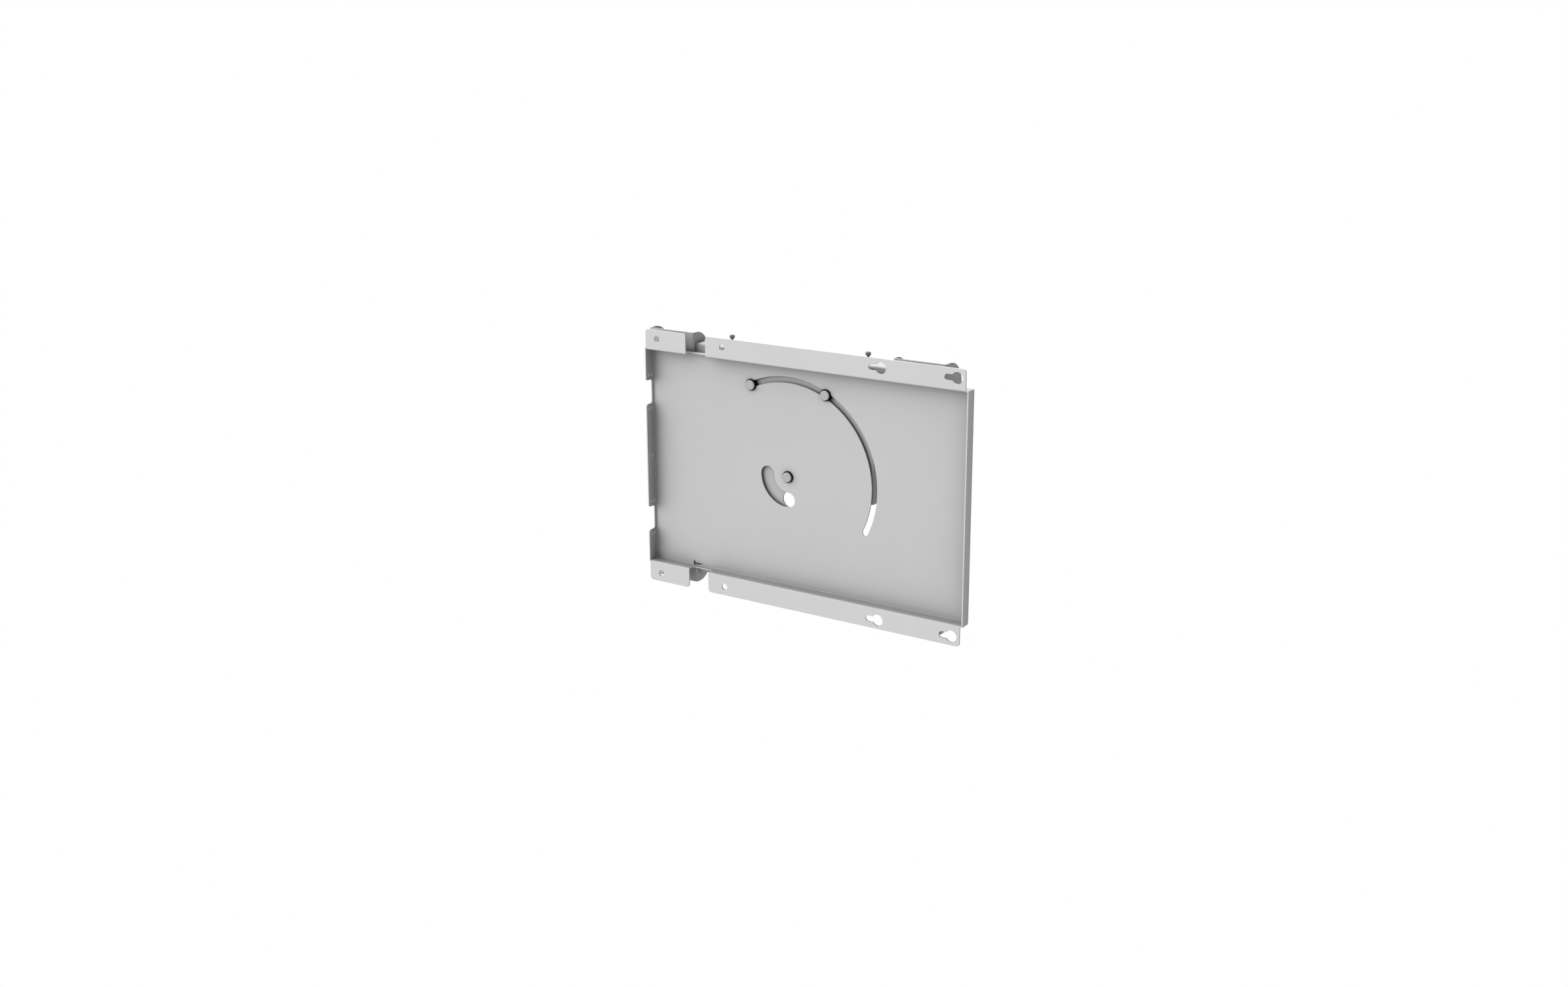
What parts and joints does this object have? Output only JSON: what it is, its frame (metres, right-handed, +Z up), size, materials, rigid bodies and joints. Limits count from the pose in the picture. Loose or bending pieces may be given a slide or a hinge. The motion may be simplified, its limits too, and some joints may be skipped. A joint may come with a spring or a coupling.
{
  "type": "display wall mount",
  "caption": "Wall mount for a large display: a sheet-metal tray with hole and keyhole lips turns a quarter turn on a pivot in front of a hanging, height-adjustable frame.",
  "frame": {"origin": "where the swivel axis meets the wall plane, which is the middle of the wall bolt pattern", "axes": "+X right as seen from the room, +Y into the wall, +Z up"},
  "size_m": [0.5963, 0.076, 0.429],
  "materials": {
    "tray_coat": "satin light grey powder coat",
    "frame_coat": "satin light grey powder coat",
    "pin_steel": "turned, zinc plated",
    "zinc_steel": "zinc plated",
    "dark_steel": "blackened",
    "black_nylon": "moulded"
  },
  "bodies": {
    "wall_rails": {"wall_rail_upper": "frame_coat", "wall_rail_lower": "frame_coat"},
    "hanging_frame": {"upright_left": "frame_coat", "upright_right": "frame_coat", "beam_upper": "frame_coat", "beam_lower": "frame_coat", "hook_bar": "frame_coat", "base_plate": "frame_coat", "pivot_bolt": "pin_steel", "pivot_bush": "black_nylon", "pivot_glide_disc": "black_nylon", "pivot_washer": "zinc_steel", "pivot_nut": "zinc_steel", "guide_pins": "pin_steel", "guide_bushes": "black_nylon", "guide_nuts": "zinc_steel", "levelling_nuts": "zinc_steel", "securing_nuts": "zinc_steel"},
    "tray": {"swivel_tray": "tray_coat"},
    "levelling_screw_left": {"levelling_screw_left": "dark_steel"},
    "levelling_screw_right": {"levelling_screw_right": "dark_steel"},
    "securing_screw_left": {"securing_screw_left": "dark_steel"},
    "securing_screw_right": {"securing_screw_right": "dark_steel"}
  },
  "joints": [
    {"name": "frame_height", "type": "slide", "parent": "wall_rails", "child": "hanging_frame", "axis": [0, 0, 1], "range_m": [-0.006, 0.006]},
    {"name": "tray_swivel", "type": "hinge", "parent": "hanging_frame", "child": "tray", "pos_m": [0, -0.056, 0], "axis": [0, -1, 0], "range_deg": [0, 90]},
    {"name": "levelling_screw_left_turn", "type": "hinge", "parent": "wall_rails", "child": "levelling_screw_left", "pos_m": [-0.126, -0.026, 0.18], "axis": [0, 0, 1], "range_deg": [-2701, 2701]},
    {"name": "levelling_screw_right_turn", "type": "hinge", "parent": "wall_rails", "child": "levelling_screw_right", "pos_m": [0.126, -0.026, 0.18], "axis": [0, 0, 1], "range_deg": [-2701, 2701]},
    {"name": "securing_screw_left_turn", "type": "hinge", "parent": "wall_rails", "child": "securing_screw_left", "pos_m": [-0.126, -0.026, -0.18], "axis": [0, 0, 1], "range_deg": [-2701, 2701]},
    {"name": "securing_screw_right_turn", "type": "hinge", "parent": "wall_rails", "child": "securing_screw_right", "pos_m": [0.126, -0.026, -0.18], "axis": [0, 0, 1], "range_deg": [-2701, 2701]}
  ],
  "couplings": [
    {"joint": "levelling_screw_left_turn", "follows": "frame_height", "rad_per_m": -7854},
    {"joint": "levelling_screw_right_turn", "follows": "frame_height", "rad_per_m": -7854},
    {"joint": "securing_screw_left_turn", "follows": "frame_height", "rad_per_m": -7854},
    {"joint": "securing_screw_right_turn", "follows": "frame_height", "rad_per_m": -7854}
  ]
}
